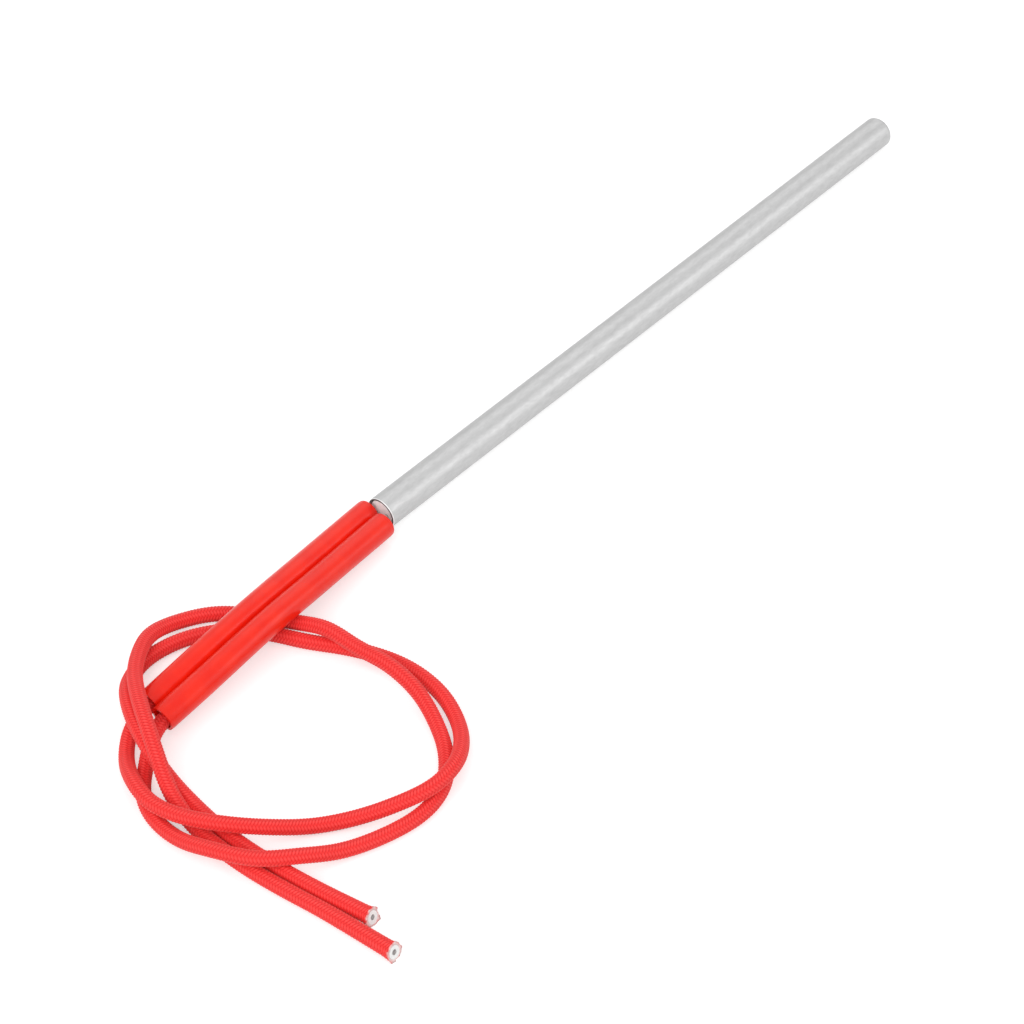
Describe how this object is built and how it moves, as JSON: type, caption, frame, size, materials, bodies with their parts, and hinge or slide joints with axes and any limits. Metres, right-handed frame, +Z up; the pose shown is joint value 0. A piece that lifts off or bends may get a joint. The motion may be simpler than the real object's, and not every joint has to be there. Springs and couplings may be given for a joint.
{
  "type": "cartridge heater",
  "caption": "Slim round metal cartridge heater with a chamfered lead end and a welded tip, and red sleeved, braided leads curled loosely beside it, for heating a block from a drilled hole.",
  "frame": {"origin": "on the sheath's axis, at the face of its lead end, half the sheath's diameter above the surface it lies on", "axes": "+X along the sheath from the lead end to the welded tip, +Z up, +Y to the left when looking along +X"},
  "size_m": [0.2142, 0.0754, 0.0095],
  "materials": {
    "stainless": "satin ground stainless steel",
    "wafer": "pressed mica",
    "core": "fired magnesium oxide",
    "resistance_wire": "drawn nickel-chromium wire",
    "oxide": "packed magnesium oxide powder",
    "nickel": "drawn nickel",
    "cement": "white matt ceramic cement",
    "tinned_brass": "tinned barrel",
    "silicone": "satin red silicone tube",
    "braid": "red varnished glass-fibre braid",
    "insulation": "white glass-fibre layer",
    "strands": "stranded nickel wire"
  },
  "bodies": {
    "root": {"sheath": "stainless", "tip_disc": "stainless", "tip_wafer": "wafer", "core_1": "core", "core_2": "core", "core_3": "core", "core_4": "core", "winding": "resistance_wire", "oxide_fill": "oxide", "return_pin": "nickel", "feed_pin": "nickel", "end_seal": "cement", "crimp_1": "tinned_brass", "crimp_2": "tinned_brass", "sleeve_1": "silicone", "sleeve_2": "silicone", "lead_1_braid": "braid", "lead_1_insulation": "insulation", "lead_1_conductor": "strands", "lead_2_braid": "braid", "lead_2_insulation": "insulation", "lead_2_conductor": "strands"}
  },
  "joints": []
}
